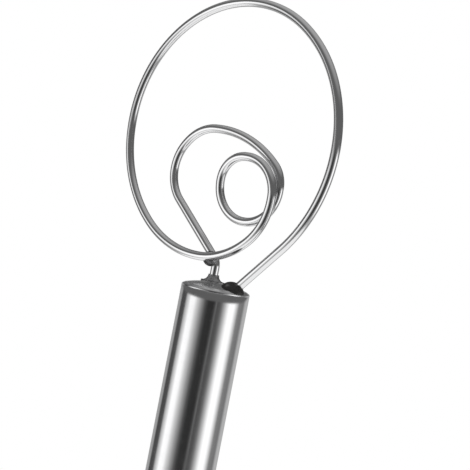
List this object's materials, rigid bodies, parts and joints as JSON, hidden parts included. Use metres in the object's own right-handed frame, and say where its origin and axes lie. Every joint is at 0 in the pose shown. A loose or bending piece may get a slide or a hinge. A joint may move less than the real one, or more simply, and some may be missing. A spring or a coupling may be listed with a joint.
{
  "type": "dough whisk",
  "caption": "Dough whisk with a flat head of nested wire loops on a stainless tube handle with a hanging loop.",
  "frame": {"origin": "on the handle's axis where the tube's head end meets its cap", "axes": "+Z along the handle towards the head, +X along the head's width towards its leg, +Y towards the head's back passes"},
  "size_m": [0.0871, 0.022, 0.3329],
  "materials": {
    "wire": "bright drawn stainless wire, polished",
    "tube": "polished stainless tube with a faint satin",
    "cap": "pressed and ground stainless cap",
    "weld": "dull dark weld bead"
  },
  "bodies": {
    "root": {"handle_tube": "tube", "head_cap": "cap", "whisk_wire": "wire", "crossing_weld": "weld", "stem_weld": "weld", "leg_weld": "weld", "tail_cap": "cap", "hanging_loop": "wire", "loop_weld_left": "weld", "loop_weld_right": "weld"}
  },
  "joints": []
}
